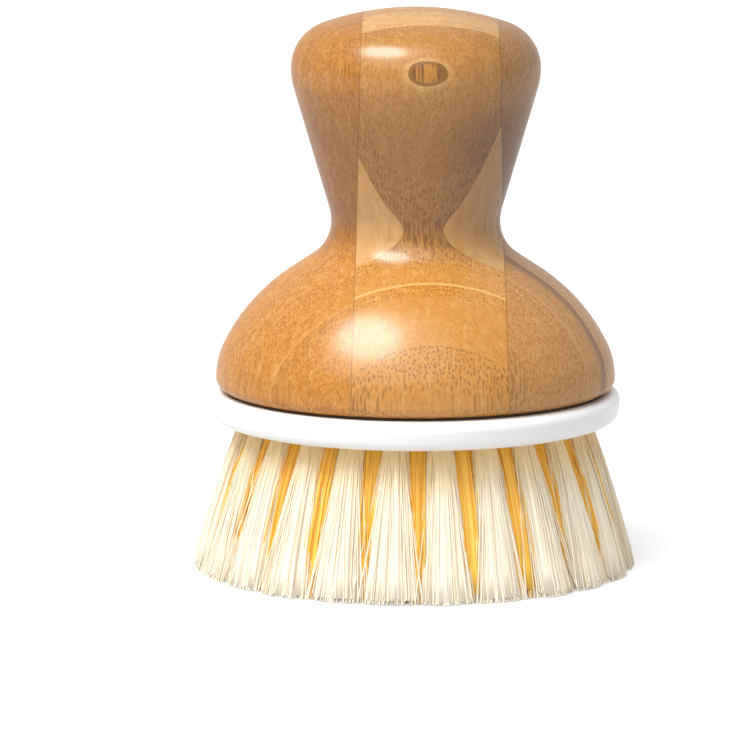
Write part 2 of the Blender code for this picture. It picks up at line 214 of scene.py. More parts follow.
class Value:
    """A socket that carries a value. Operators on it add Math nodes to its tree."""

    def __init__(self, wiring, socket):
        self.wiring = wiring
        self.socket = socket

    def math(self, operation, *others):
        return self.wiring.add("ShaderNodeMath", dict(enumerate((self, *others))), operation=operation)

    def __add__(self, other):
        return self.math("ADD", other)

    __radd__ = __add__

    def __sub__(self, other):
        return self.math("SUBTRACT", other)

    def __rsub__(self, other):
        return self.wiring.add("ShaderNodeMath", {0: other, 1: self}, operation="SUBTRACT")

    def __mul__(self, other):
        return self.math("MULTIPLY", other)

    __rmul__ = __mul__

    def __truediv__(self, other):
        return self.math("DIVIDE", other)

    def __gt__(self, other):
        return self.math("GREATER_THAN", other)

    def floor(self):
        return self.math("FLOOR")

    def absolute(self):
        return self.math("ABSOLUTE")

    def sine(self):
        return self.math("SINE")

    def cosine(self):
        return self.math("COSINE")

    def least(self, other):
        return self.math("MINIMUM", other)

    def most(self, other):
        return self.math("MAXIMUM", other)

    def power(self, count):
        """The product of so many of this value."""
        product = self
        for _ in range(count - 1):
            product = product * self
        return product

    def ramp(self, start, end, low=0.0, high=1.0):
        """This value eased from one range to another, and held past its ends."""
        sockets = {"Value": self, "From Min": start, "From Max": end, "To Min": low, "To Max": high}
        return self.wiring.add("ShaderNodeMapRange", sockets, interpolation_type="SMOOTHSTEP")


class Wiring:
    """A node tree being made: its nodes are added and wired to each other."""

    def __init__(self, tree):
        self.tree = tree

    def add(self, kind, sockets=None, output=0, **settings):
        """Any node: its settings come first, then the values or links of its sockets."""
        node = self.tree.nodes.new(kind)
        for name, value in settings.items():
            setattr(node, name, value)
        for name, value in (sockets or {}).items():
            if isinstance(value, Value):
                self.tree.links.new(value.socket, node.inputs[name])
            else:
                node.inputs[name].default_value = value
        return Value(self, node.outputs[output])

    def vector(self, x, y, z=0.0):
        """A vector of three numbers."""
        return self.add("ShaderNodeCombineXYZ", {0: x, 1: y, 2: z})

    def split(self, vector):
        """The three numbers of a vector."""
        node = self.add("ShaderNodeSeparateXYZ", {0: vector}).socket.node
        return [Value(self, socket) for socket in node.outputs]


class Shading(Wiring):
    """The nodes of a material or of the world."""

    def place(self, per_metre=1000.0):
        """The object coordinates, in millimetres unless told otherwise."""
        coordinates = self.add("ShaderNodeTexCoord", output="Object")
        return self.add("ShaderNodeVectorMath", {0: coordinates, "Scale": per_metre}, operation="SCALE")

    def attribute(self, name):
        """A number that the mesh carries under this name."""
        return self.add("ShaderNodeAttribute", output="Fac", attribute_name=name)

    def noise(self, vector, scale=1.0, detail=2.0, roughness=0.5):
        """Noise between 0 and 1 on a vector."""
        sockets = {"Vector": vector, "Scale": scale, "Detail": detail, "Roughness": roughness}
        return self.add("ShaderNodeTexNoise", sockets)

    def mix(self, share, first, second, blend="MIX"):
        """Two colours mixed. A colour is a value or three numbers."""
        ends = [colour if isinstance(colour, Value) else (*colour, 1.0) for colour in (first, second)]
        sockets = {0: share, 6: ends[0], 7: ends[1]}
        return self.add("ShaderNodeMix", sockets, output=2, data_type="RGBA", blend_type=blend)

    def bump(self, height, distance, strength):
        """A bump from a height between 0 and 1 that stands for a distance in metres."""
        return self.add("ShaderNodeBump", {"Height": height, "Distance": distance, "Strength": strength})

    def seen(self):
        """1 on the rays that show the surroundings, to the camera, in gloss or through clear things."""
        rays = self.add("ShaderNodeLightPath").socket.node
        shown = Value(self, rays.outputs["Is Camera Ray"])
        for ray in ("Is Glossy Ray", "Is Transmission Ray"):
            shown = shown.most(Value(self, rays.outputs[ray]))
        return shown


class Finish(Shading):
    """A material being made: a Principled surface and the nodes that feed it."""

    def __init__(self, name, **constants):
        self.material = bpy.data.materials.new(name)
        self.material.use_nodes = True
        super().__init__(self.material.node_tree)
        self.shader = self.tree.nodes["Principled BSDF"]
        for socket, value in constants.items():
            self.shader.inputs[socket.replace("_", " ")].default_value = value

    def feed(self, name, value):
        """A value into a socket of the surface."""
        self.tree.links.new(value.socket, self.shader.inputs[name])


# Bamboo: boards side by side along X, each of layers that face the front, all in millimetres
board_centre = 2.15
board_width = 24.84
board_taper = -0.052
glue_half_width = 0.11
layer_tilt = 0.09
layer_wander = 0.16
layer_shift_beside = -0.85
layer_lean_crown = 0.15
layer_lean_right = 0.30
outer_layer_thickness = 7.0
layer_faces = (-30.6, -23.5, -16.4, -9.3, -2.2, 5.2, 12.50, 18.69, 27.0)
layer_pale_shares = (0.2, 0.4, 0.1, 0.4, 0.2, 0.4, 0.9, 0.22, 0.04, 0.10)
layer_dot_shares = (0.8, 0.3, 0.7, 0.3, 0.8, 0.3, 0.20, 0.15, 0.30, 1.0)
layer_bright_edge_shares = (0.1, 0.4, 0.1, 0.3, 0.1, 0.3, 0.0, 1.0, 0.05, 0.0)
layer_fleck_shares = (0.8, 0.4, 0.8, 0.4, 0.8, 0.4, 0.12, 0.65, 0.38, 0.4)
beside_fleck_share = 0.8
stained_face = layer_faces[-3]
knot_face = layer_faces[-2]
dot_spacing = 0.68
dot_depth_spacing = 0.8 * dot_spacing
speck_spacing = 0.60
speck_depth_spacing = 0.7 * speck_spacing
knot_height = 76.4
knob_foot = 27.0

# Heights between which the bamboo's look changes, up or down the knob
crown_heights = (62.0, 66.0)
crown_lean_heights = (68.0, 73.0)
right_lean_heights = (70.0, 50.0)
# The next three carry the painted shade: where it starts at the cone's foot, where it fades up the cone, and
# where it comes back a little on the dome's top
cone_foot_heights = (46.5, 53.5)
cone_top_heights = (76.0, 66.0)
dome_heights = (78.0, 84.0)
waist_dash_foot_heights = (49.5, 51.0)
waist_dash_top_heights = (55.0, 53.5)
stain_top_heights = (52.0, 48.0)

# The painted shade's strength, deeper towards the right, and what the cone's pale layer is spared of it: from
# and to along X, and the shares there
painted_shade_ramp = (0.0, 14.0, 0.57, 0.90)
spared_ramp = (2.0, 10.0, 0.40, 0.34)

# Depths from the face of a layer between which its marks come in
bright_edge_depths = (0.60, 0.15)
crown_edge_depths = (0.24, 0.05)
dark_edge_depths = (0.11, 0.05)
knot_edge_depths = (0.125, 0.080)
dot_depths = (4.5, 0.5)
speck_depths = (3.6, 0.3)
stain_depths = (2.7, 0.5)

bamboo_honey = (0.560, 0.242, 0.036)
bamboo_gold = (0.530, 0.203, 0.016)
bamboo_tan = (0.60, 0.345, 0.130)
bamboo_rose = (0.46, 0.215, 0.060)
bamboo_cream = (0.78, 0.50, 0.19)
bamboo_amber = (0.44, 0.158, 0.007)
# Colour of the painted shade, multiplied into the bamboo on the cone
bamboo_painted_shade = (0.31, 0.23, 0.10)
bamboo_brown = (0.29, 0.112, 0.010)
bamboo_dark = (0.18, 0.064, 0.014)


def stepped(value, faces, amounts):
    """A number that starts at the first amount and changes to the next at each face that the value passes."""
    total = amounts[0]
    for face, before, after in zip(faces, amounts, amounts[1:]):
        total = (value > face) * (after - before) + total
    return total


class Layers:
    """Where each point of the bamboo lies: on which board, and how deep in which of its layers."""

    def __init__(self, f):
        place = f.place()
        x, y, z = f.split(place)
        share = (x - board_centre) / (z * board_taper + board_width) + 0.5
        self.board = share.floor()
        self.beside = self.board.absolute().least(1.0)
        to_glue = (0.5 - (share - self.board - 0.5).absolute()) * board_width
        self.glue = to_glue.ramp(1.6 * glue_half_width, 0.4 * glue_half_width)
        self.on_crown = z.ramp(*crown_heights)

        # Depth towards the front: the layers lean on the crown and down the right board
        wander = f.noise(place, scale=0.30)
        on_right = self.board > 0.5
        depth = x * layer_tilt - y + self.beside * layer_shift_beside + (wander - 0.5) * layer_wander
        depth = depth + z.ramp(*crown_lean_heights) * (z - knot_height) * layer_lean_crown
        depth = depth + on_right * z.ramp(*right_lean_heights) * (z - knob_foot) * layer_lean_right
        self.x, self.y, self.z, self.depth = x, y, z, depth

        # The faces of the layer that holds the point, and a random number for each layer of each board
        inner_face = self.pick((layer_faces[0] - outer_layer_thickness, *layer_faces))
        outer_face = self.pick((*layer_faces, layer_faces[-1] + outer_layer_thickness))
        self.past_inner = depth - inner_face
        self.to_outer = outer_face - depth
        seed = {"Vector": f.vector(self.board, inner_face)}
        self.own = f.add("ShaderNodeTexWhiteNoise", seed, noise_dimensions="2D")

    def pick(self, amounts):
        """The amount for the point's layer, from a list that has one for each layer."""
        return stepped(self.depth, layer_faces, amounts)


def layer_edges(at):
    """The bright outer edge and the dark inner edge of each layer."""
    bright = at.to_outer.ramp(*bright_edge_depths) * at.pick(layer_bright_edge_shares)
    bright = bright * (1.0 - at.on_crown) + at.to_outer.ramp(*crown_edge_depths) * at.on_crown * 0.6
    return bright, at.past_inner.ramp(*dark_edge_depths)


def fibre_noises(f, at):
    """Fibres, long along Z and fine across, and the bands, flecks, blotches and clouds in their colour."""
    x, y, z, own = at.x, at.y, at.z, at.own
    fibres = f.noise(f.vector(x * 2.2 + own * 40.0, y * 2.2, z * 0.06), detail=3.0, roughness=0.65)
    bands = f.noise(f.vector(x * 0.75, y * 0.75 + own * 30.0, z * 0.03))
    flecks = f.noise(f.vector(x * 3.0 + own * 17.0, y * 3.0, z * 1.3), detail=3.0, roughness=0.65)
    blotches = f.noise(f.vector(x * 0.8 + own * 5.0, y * 0.8, z * 0.3), roughness=0.6)
    clouds = f.noise(f.vector(x * 0.13, y * 0.13 + own * 9.0, z * 0.10))
    return fibres, bands, flecks, blotches, clouds


def vessel_cells(f, across, along, randomness):
    """Cells on the surface, one to a vessel: how far its middle is, and a number of its own."""
    sockets = {"Vector": f.vector(across, along), "Scale": 1.0, "Randomness": randomness}
    cells = f.add("ShaderNodeTexVoronoi", sockets, voronoi_dimensions="2D")
    own = f.split(Value(f, cells.socket.node.outputs["Color"]))[0]
    return cells, own


def vessel_marks(f, at, clouds, painted_shade):
    """Vessels, drawn out where the surface runs along them: dots with pale halos, and finer specks."""
    drift = f.noise(f.vector(at.x * 0.3, at.y * 0.3, at.z * 0.12), detail=1.0)
    dot_place = (at.x / dot_spacing + drift * 1.1, at.depth / dot_depth_spacing + at.own * 17.0)
    dots, dot_own = vessel_cells(f, *dot_place, randomness=0.6)
    speck_place = (at.x / speck_spacing + drift * 1.9, at.depth / speck_depth_spacing + at.own * 23.0)
    specks, speck_own = vessel_cells(f, *speck_place, randomness=0.8)

    # They crowd towards the inner face of each layer
    dot_crowd = (at.past_inner.ramp(*dot_depths) + (clouds - 0.5) * 0.7).ramp(0.15, 0.55)
    dot_crowd = dot_crowd * at.pick(layer_dot_shares)
    speck_crowd = (at.past_inner.ramp(*speck_depths) + (clouds - 0.5) * 0.8).ramp(0.10, 0.60)
    dot_marks = dots.ramp(0.38, 0.18) * dot_crowd * (dot_own * 0.5 + 0.5)
    dot_halos = dots.ramp(0.22, 0.30) * dots.ramp(0.46, 0.32) * dot_crowd
    speck_marks = specks.ramp(0.36, 0.14) * speck_crowd
    dark = speck_own.ramp(0.15, 0.50)
    # Pale specks are fewer under the painted shade
    pale = (1.0 - dark) * (1.0 - painted_shade * 0.8) * (1.0 - dot_crowd * 0.8) * (1.0 - at.beside * 0.4)
    return dot_marks, dot_halos, speck_marks * dark, speck_marks * pale


def strokes(f, at, across, along, low, high):
    """Short dark strokes along the fibres."""
    return f.noise(f.vector(at.x * across, at.y * 0.1, at.z * along), detail=1.0).ramp(low, high)


def waist_dashes(f, at):
    """Dashes that mark the front of the middle board's waist."""
    in_waist = at.z.ramp(*waist_dash_top_heights) * at.z.ramp(*waist_dash_foot_heights)
    dashes = strokes(f, at, 1.8, 0.3, 0.50, 0.60)
    return dashes * in_waist * (at.depth > stained_face) * (1.0 - at.beside)


def knot_marks(f, at):
    """The small oval mark on the crown's front: its dark edge, and the strokes inside it."""
    in_knot = at.on_crown * (at.depth > knot_face)
    edge = at.past_inner.ramp(*knot_edge_depths) * in_knot
    return edge, strokes(f, at, 1.5, 0.08, 0.50, 0.62) * in_knot


def stain_mark(at, right, flecks, blotches):
    """The dark stain along one layer of the right board."""
    ragged = at.past_inner + (flecks - 0.5) * 1.8 + (blotches - 0.5) * 2.0
    in_layer = (at.depth > stained_face) * (1.0 - (at.depth > knot_face))
    return ragged.ramp(*stain_depths) * right * in_layer * at.z.ramp(*stain_top_heights)


def bamboo_finish():
    """Lacquered bamboo, glued up from boards of thin layers, whose fibres run up the knob, with shade painted
    on its cone.
    """
    f = Finish(
        "lacquered_bamboo",
        Coat_Weight=0.32,
        Coat_Roughness=0.21,
        Coat_IOR=2.15,
        Specular_IOR_Level=0.05,
    )
    at = Layers(f)
    pale_share = at.pick(layer_pale_shares)
    fleck_share = at.pick(layer_fleck_shares).most(at.beside * beside_fleck_share)
    bright_edge, dark_edge = layer_edges(at)
    fibres, bands, flecks, blotches, clouds = fibre_noises(f, at)

    # Painted shade: darkest on the downward-facing cone, lighter on the crown, a little more on the dome's top,
    # none on the bell, deeper towards the right, and less on the cone's pale layer
    on_cone = at.z.ramp(*cone_top_heights, 0.40, 1.0) + at.z.ramp(*dome_heights) * 0.20
    painted_shade = at.z.ramp(*cone_foot_heights) * on_cone
    spared = pale_share.ramp(0.3, 0.9) * (1.0 - at.beside) * at.x.ramp(*spared_ramp)
    painted_shade_strength = at.x.ramp(*painted_shade_ramp) - spared

    dot_marks, dot_halos, dark_specks, pale_specks = vessel_marks(f, at, clouds, painted_shade)
    knot_edge, knot_dashes = knot_marks(f, at)

    # The boards' own colours: golden at the left, duller at the right
    left = at.board.ramp(0.0, -1.0)
    right = at.board.ramp(0.0, 1.0)
    washes = (
        (left * 0.8 + bands.ramp(0.45, 0.75) * 0.3, bamboo_gold),
        (right * 0.85, bamboo_rose),
        (fibres.ramp(0.50, 0.80) * 0.30, bamboo_brown),
        (bands.ramp(0.48, 0.25) * 0.22, bamboo_cream),
        (blotches.ramp(0.46, 0.70) * (left * 0.6 + 0.3), bamboo_amber),
        (flecks.ramp(0.49, 0.62) * fleck_share * 0.75, bamboo_brown),
        # Pale flecks are fewer under the painted shade
        (flecks.ramp(0.47, 0.36) * fleck_share * (0.22 - painted_shade * 0.12), bamboo_cream),
        (bright_edge * (1.0 - at.beside * 0.7) * 0.6, bamboo_cream),
        (dot_halos * 0.12, bamboo_cream),
        (dark_specks * 0.85, bamboo_brown),
        (pale_specks * 0.45, bamboo_cream),
        (dot_marks * 0.80, bamboo_brown),
        (waist_dashes(f, at) * 0.9, bamboo_brown),
        (dark_edge * 0.18, bamboo_brown),
        (knot_dashes * 0.9, bamboo_dark),
        (knot_edge * 0.85, bamboo_brown),
        (stain_mark(at, right, flecks, blotches) * 0.85, bamboo_dark),
        (at.glue * 0.75, bamboo_brown),
    )
    body = f.mix(pale_share + (clouds - 0.5) * 0.35, bamboo_honey, bamboo_tan)
    for share, colour in washes:
        body = f.mix(share, body, colour)
    # The painted shade is multiplied in last
    f.feed("Base Color", f.mix(painted_shade * painted_shade_strength, body, bamboo_painted_shade, blend="MULTIPLY"))
    f.feed("Roughness", fibres.ramp(0.3, 0.8, 0.42, 0.58))
    relief = flecks * 0.35 - (dot_marks * 0.5 + dark_specks * 0.3 + at.glue * 0.3)
    f.feed("Normal", f.bump(relief, distance=0.00003, strength=0.35))
    return f.material


def moulded(f, colours, flow_scale, grain_scale, grain_detail, roughness, relief):
    """A moulded surface: a soft flow between two colours, and a fine grain in its gloss and its relief."""
    place = f.place()
    flow = f.noise(place, scale=flow_scale)
    grain = f.noise(place, scale=grain_scale, detail=grain_detail)
    f.feed("Base Color", f.mix(flow, *colours))
    f.feed("Roughness", grain.ramp(0.2, 0.8, *roughness))
    f.feed("Normal", f.bump(grain, *relief))
    return f.material


def plastic_finish():
    """White moulded plastic with a faint flow and the finest of textures."""
    return moulded(
        Finish("white_moulded_plastic", IOR=1.5),
        colours=((0.895, 0.90, 0.91), (0.925, 0.925, 0.925)),
        flow_scale=0.12,
        grain_scale=7.0,
        grain_detail=2.0,
        roughness=(0.30, 0.40),
        relief=(0.000012, 0.5),
    )


def socket_finish():
    """Natural off-white moulded plastic of the socket in the knob."""
    return moulded(
        Finish("natural_moulded_plastic", IOR=1.5),
        colours=((0.74, 0.73, 0.68), (0.82, 0.81, 0.78)),
        flow_scale=0.2,
        grain_scale=6.0,
        grain_detail=2.0,
        roughness=(0.42, 0.55),
        relief=(0.00002, 0.5),
    )


def rubber_finish():
    """Dark brown rubber with a fine matte grain and a soft bloom."""
    return moulded(
        Finish("dark_rubber"),
        colours=((0.10, 0.055, 0.032), (0.15, 0.085, 0.052)),
        flow_scale=0.25,
        grain_scale=5.0,
        grain_detail=3.0,
        roughness=(0.70, 0.88),
        relief=(0.00003, 0.6),
    )


def bristle_finish(name, pale, deep, root):
    """Synthetic filaments, a little unlike each other, with the plate rim's shadow painted towards their roots.
    """
    f = Finish(name, Roughness=0.45, IOR=1.5, Specular_IOR_Level=0.3)
    shade, along, across, round_it = (f.attribute(name) for name in ("shade", "along", "across", "round"))
    x, y, z = f.split(f.place())
    strand_place = f.vector(across * 7.0 + shade * 60.0, round_it * 7.0, along * 0.5)
    strands = f.noise(strand_place, detail=3.0, roughness=0.7)
    clumps = f.noise(f.vector(x * 0.55, y * 0.55, z * 0.05), detail=1.0)
    mixture = shade * 0.45 + (strands - 0.5) * 1.1 + (clumps - 0.5) * 0.8 + 0.15
    body = f.mix(mixture.ramp(0.0, 1.0), pale, deep)
    # Painted shadow of the rim: the root colour towards the roots
    body = f.mix((along + (strands - 0.5) * 0.25).ramp(0.42, 0.04, 0.0, 0.85), body, root)
    f.feed("Base Color", body)
    return f.material


def knob_outline():
    """The knob's outer side, from the top of its crown down to its base."""
    waist_height = knob_base + waist_rise
    dome_centre = (0, knob_top - crown_dome_radius)
    rise = (crown_dome_radius - crown_edge_radius) ** 2 - (crown_radius - crown_edge_radius) ** 2
    crown_height = dome_centre[1] + math.sqrt(rise)
    bell_centre = (bell_radius - bell_side_radius, knob_base + base_edge_radius)
    lean = math.radians(shoulder_end_degrees)
    deeper = shoulder_radius - bell_side_radius
    shoulder_centre = (bell_centre[0] - deeper * math.cos(lean), bell_centre[1] - deeper * math.sin(lean))
    rounds = [
        (dome_centre, crown_dome_radius),
        ((crown_radius - crown_edge_radius, crown_height), crown_edge_radius),
        ((crown_radius - crown_side_radius, crown_height), crown_side_radius),
        ((waist_radius + waist_upper_radius, waist_height), -waist_upper_radius),
        ((waist_radius + waist_lower_radius, waist_height), -waist_lower_radius),
        (shoulder_centre, shoulder_radius),
        (bell_centre, bell_side_radius),
        ((bell_radius - base_edge_radius, bell_centre[1]), base_edge_radius),
    ]
    return tangent_outline(rounds, knob_arc_step_degrees)


def add_knob():
    """The turned and lacquered knob, bored from below for its socket."""
    recess_radius = socket_flange_radius + fit_gap
    recess_top = knob_base + socket_flange_thickness + fit_gap
    hole_radius = socket_body_radius + fit_gap
    hole_top = socket_top + fit_gap
    outline = knob_outline() + [
        (recess_radius, knob_base),
        (recess_radius, recess_top),
        (hole_radius, recess_top),
        (hole_radius, hole_top),
        (0, hole_top),
    ]
    knob = turned("turned_bamboo_knob", outline, knob_steps)
    knob.data.materials.append(bamboo_finish())
    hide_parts("bamboo_knob")
    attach(knob, "knob")


def dress_socket():
    """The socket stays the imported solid, in a plastic of its own."""
    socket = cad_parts["threaded_socket"]
    socket.data.materials.clear()
    socket.data.materials.append(socket_finish())


def add_seal():
    """The flat sealing ring, whose dark edge, with the shade in the gap above it, makes the dark line under the
    bamboo.
    """
    inner = seal_outer_radius - seal_width
    outline = [
        (inner, seal_high.z),
        (seal_outer_radius, seal_high.z),
        (seal_outer_radius, seal_low.z),
        (inner, seal_low.z),
    ]
    seal = turned("flat_seal", outline, plate_steps)
    seal.data.materials.append(rubber_finish())
    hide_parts("seal_ring")
    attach(seal, "seal")


def thread_ridge():
    """The round right-hand thread on the post, as a closed tube that sinks into it."""
    start = plate_top + post_root_length
    path_radius = post_radius + thread_stand
    count = round(thread_turns * thread_steps_per_turn)
    curve = bpy.data.curves.new("thread_route", "CURVE")
    curve.dimensions = "3D"
    curve.twist_mode = "Z_UP"
    curve.bevel_depth = thread_ridge_radius
    curve.bevel_resolution = 3
    curve.use_fill_caps = True
    spline = curve.splines.new("POLY")
    spline.points.add(count)
    for i, point in enumerate(spline.points):
        angle = math.tau * i / thread_steps_per_turn
        height = start + thread_pitch * i / thread_steps_per_turn
        point.co = (path_radius * math.cos(angle), path_radius * math.sin(angle), height, 1)
    route = add_object("thread_route", curve)
    ridge = add_object("thread_ridge", closed_up(baked(route, "thread_ridge")))
    bpy.data.objects.remove(route, do_unlink=True)
    return ridge


def plate_outline():
    """The plate's side: its post, the seat of the seal, the rim and the flat underside."""
    seat_floor = seal_low.z - seal_gap
    seat_inner = seal_outer_radius - seal_width - fit_gap
    seat_outer = seal_outer_radius + fit_gap
    rim = [
        ((rim_radius - rim_top_round, plate_top - rim_top_round), rim_top_round),
        ((rim_foot_radius - rim_foot_round, bristle_length + rim_foot_round), rim_foot_round),
    ]
    post_and_seat = [
        (0, post_top),
        (post_radius - post_chamfer, post_top),
        (post_radius, post_top - post_chamfer),
        (post_radius, plate_top),
        (seat_inner, plate_top),
        (seat_inner, seat_floor),
        (seat_outer, seat_floor),
        (seat_outer, plate_top),
    ]
    return post_and_seat + tangent_outline(rim, rim_arc_step_degrees) + [(0, bristle_length)]


def add_plate():
    """The white plate with its threaded post and the seat of the seal."""
    plate = turned("white_plate", plate_outline(), plate_steps)
    ridge = thread_ridge()
    join = plate.modifiers.new("thread", "BOOLEAN")
    join.operation = "UNION"
    join.object = ridge
    join.solver = "EXACT"
    mesh = baked(plate, "white_plate")
    plate.modifiers.clear()
    plate.data = mesh
    bpy.data.objects.remove(ridge, do_unlink=True)
    smooth(mesh)
    mesh.materials.clear()
    mesh.materials.append(plastic_finish())
    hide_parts("brush_plate")
    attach(plate, "head")


# Named inputs of the tree that grows a row of tufts
row_inputs = {
    "Row Radius": "Float",
    "Tip Radius": "Float",
    "First Angle": "Float",
    "Root Reach": "Float",
    "Tip Reach Along": "Float",
    "Tip Reach Across": "Float",
    "Root Height": "Float",
    "Lowest Tip": "Float",
    "Tip Unevenness": "Float",
    "Filament Radius": "Float",
    "Bow": "Float",
    "Straying": "Float",
    "Core Share": "Float",
    "Core End": "Float",
    "Tufts": "Int",
    "Filaments": "Int",
    "Segments": "Int",
    "Seed": "Int",
    "Finish": "Material",
}

# What is random in a row: each draw's own seed, counted from the row's, and its range
draws = {
    "spin": (1, 0.0, math.tau),
    "reach": (2, 0.95, 1.03),
    "turn": (3, -0.35, 0.35),
    "fan": (4, 0.92, 1.06),
    "skew": (5, -1.0, 1.0),
    "lean": (6, -1.0, 0.4),
    "stray": (7, -1.0, 1.0),
    "spread": (8, -1.0, 1.0),
    "cut": (9, 0.0, 1.0),
    "tuft cut": (10, 0.0, 0.13),
    "thickness": (11, 0.85, 1.15),
    "shade": (12, 0.0, 1.0),
    "core shade": (12, 0.2, 0.8),
    "bow": (13, -0.35, 1.0),
}

# Packing of the tufts: the shares are of their tips' reach along or across the row
golden_angle = math.pi * (3 - math.sqrt(5))
filaments_per_inner_one = 6.0
skew_share = 0.12
lean_share = 0.14
spread_share = 0.07
core_sides = 60
core_bands = 6
core_end_spread = 0.0006
filament_swell = 4.0
core_swell = 1.3


class Grower(Wiring):
    """A Geometry Nodes tree being made."""

    def __init__(self, name, inputs):
        super().__init__(bpy.data.node_groups.new(name, "GeometryNodeTree"))
        offer = self.tree.interface.new_socket
        offer("Geometry", in_out="OUTPUT", socket_type="NodeSocketGeometry")
        self.inputs = {
            size: offer(size, in_out="INPUT", socket_type=f"NodeSocket{kind}").identifier
            for size, kind in inputs.items()
        }
        self.start = self.tree.nodes.new("NodeGroupInput")

    def given(self, name):
        """What the tree's input of this name holds."""
        return Value(self, self.start.outputs[name])

    def draw(self, name, index):
        """The random number of this name for an index."""
        number, low, high = draws[name]
        sockets = {2: low, 3: high, "ID": index, "Seed": self.given("Seed") + number}
        return self.add("FunctionNodeRandomValue", sockets, output=1, data_type="FLOAT")

    def store(self, geometry, name, value, domain="POINT"):
        """The geometry with a number kept on it under a name."""
        sockets = {"Geometry": geometry, "Name": name, "Value": value}
        return self.add("GeometryNodeStoreNamedAttribute", sockets, data_type="FLOAT", domain=domain)

    def recall(self, name):
        """A number that was kept under this name."""
        return self.add("GeometryNodeInputNamedAttribute", {"Name": name}, data_type="FLOAT")


def own_ways(g, tuft):
    """Each tuft's own fan, skew along its row and lean across it, the same for its core and its filaments."""
    skew = g.draw("skew", tuft) * g.given("Tip Reach Along") * skew_share
    lean = g.draw("lean", tuft) * g.given("Tip Reach Across") * lean_share
    return g.draw("fan", tuft), skew, lean


def row_direction(g, tuft):
    """The cosine and sine of the place of a tuft in its row."""
    angle = tuft * math.tau / g.given("Tufts") + g.given("First Angle")
    return angle.cosine(), angle.sine()


def point_out(g, out, aside, direction, height):
    """The point that lies so far out from the axis in a direction, and so far aside of that."""
    cosine, sine = direction
    return g.vector(out * cosine - aside * sine, out * sine + aside * cosine, height)


def swell(g, along, amount):
    """How far a bowed tuft bulges at a share of its length."""
    return along * (1.0 - along) * amount * g.given("Bow")


def filament_ends(g, index, tuft, own, direction):
    """The root and the tip of each filament, fanned and cut a little unevenly."""
    filaments = g.given("Filaments")

    # A filament's unit place in its tuft: some fill the middle on a spiral, and most sheathe the body
    reach = ((own + 0.5) / filaments * filaments_per_inner_one).least(1.0) * g.draw("reach", index)
    turn = own * golden_angle + g.draw("spin", tuft) + g.draw("turn", index)
    across_share = reach * turn.cosine()
    along_share = reach * turn.sine()

    fan, skew, lean = own_ways(g, tuft)
    stray = g.draw("stray", index).power(5)
    spread = g.draw("spread", index) * spread_share
    root_out = g.given("Row Radius") + across_share * g.given("Root Reach")
    root_aside = along_share * g.given("Root Reach")
    tip_out = g.given("Tip Radius") + lean + across_share * g.given("Tip Reach Across") * fan
    tip_aside = (along_share * fan + spread) * g.given("Tip Reach Along") + skew
    tip_aside = tip_aside + stray * g.given("Straying")

    low = g.given("Lowest Tip") + g.draw("cut", index).power(4) * g.given("Tip Unevenness")
    low = low + g.draw("tuft cut", tuft) * g.given("Tip Unevenness")
    root = point_out(g, root_out, root_aside, direction, g.given("Root Height"))
    return root, point_out(g, tip_out, tip_aside, direction, low)


def unit_filament(g):
    """One filament of unit length and radius, which knows how far along it each point lies."""
    line = g.add("GeometryNodeCurvePrimitiveLine", {"Start": (0, 0, 0), "End": (0, 0, 1)})
    points = g.add("GeometryNodeResampleCurve", {"Curve": line, "Count": g.given("Segments") + 1})
    profile = g.add("GeometryNodeCurvePrimitiveCircle", {"Resolution": 4, "Radius": 1.0})
    strand = g.add("GeometryNodeCurveToMesh", {"Curve": points, "Profile Curve": profile, "Fill Caps": True})
    height = g.add("ShaderNodeSeparateXYZ", {0: g.add("GeometryNodeInputPosition")}, output=2)
    return g.store(strand, "along", height)


def filament_row(g):
    """The filaments of the row, each from its root to its tip and bowed."""
    filaments = g.given("Filaments")
    index = g.add("GeometryNodeInputIndex")
    tuft = (index / filaments).floor()
    own = index - tuft * filaments
    direction = row_direction(g, tuft)
    root, tip = filament_ends(g, index, tuft, own, direction)
    run = g.add("ShaderNodeVectorMath", {0: tip, 1: root}, operation="SUBTRACT")
    length = g.add("ShaderNodeVectorMath", {0: run}, output="Value", operation="LENGTH")
    radius = g.given("Filament Radius") * g.draw("thickness", index)
    cloud = g.add("GeometryNodePoints", {"Count": g.given("Tufts") * filaments, "Position": root})
    sockets = {
        "Points": cloud,
        "Instance": unit_filament(g),
        "Rotation": g.add("FunctionNodeAlignRotationToVector", {"Vector": run}, axis="Z"),
        "Scale": g.vector(radius, radius, length),
    }
    row = g.add("GeometryNodeInstanceOnPoints", sockets)
    row = g.store(row, "shade", g.draw("shade", index), "INSTANCE")
    for name, part in zip(("bow_x", "bow_y"), direction):
        row = g.store(row, name, g.draw("bow", index) * part, "INSTANCE")
    row = g.add("GeometryNodeRealizeInstances", {"Geometry": row})
    bulge = swell(g, g.recall("along"), filament_swell)
    offset = g.vector(g.recall("bow_x") * bulge, g.recall("bow_y") * bulge)
    return g.add("GeometryNodeSetPosition", {"Geometry": row, "Offset": offset})


